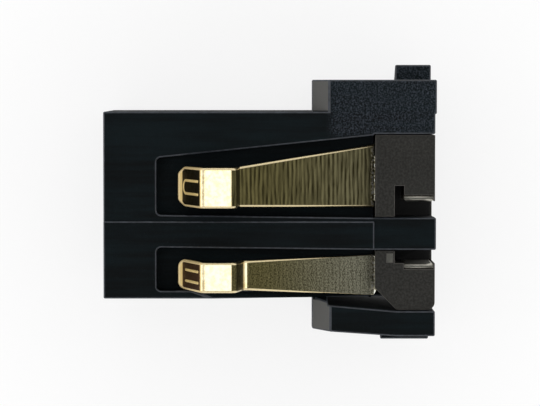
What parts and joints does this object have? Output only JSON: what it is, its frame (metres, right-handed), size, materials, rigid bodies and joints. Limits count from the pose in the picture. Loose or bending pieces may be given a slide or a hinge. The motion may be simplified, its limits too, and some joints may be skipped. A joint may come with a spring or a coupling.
{
  "type": "dc barrel jack",
  "caption": "Small barrel power jack: a black moulded block with a plug bore and centre pin, gold spring contacts on its board side and snap catches at its sides.",
  "frame": {"origin": "middle of the footprint, at the height of the flat roof that the jack lies on", "axes": "+Z is the board side, where the springs stand up; the plug goes in from -Y; +X is the snap arm's side"},
  "size_m": [0.0056, 0.0066, 0.0044],
  "materials": {
    "black_moulding": "fine spark-eroded satin",
    "brown_moulding": "satin",
    "pin_metal": "turned, thinly plated",
    "gold_strip": "gold plated over rolled strip"
  },
  "bodies": {
    "root": {"housing": "black_moulding", "contact_carrier": "brown_moulding", "centre_pin": "pin_metal", "centre_contact": "gold_strip", "barrel_contact": "gold_strip"}
  },
  "joints": []
}
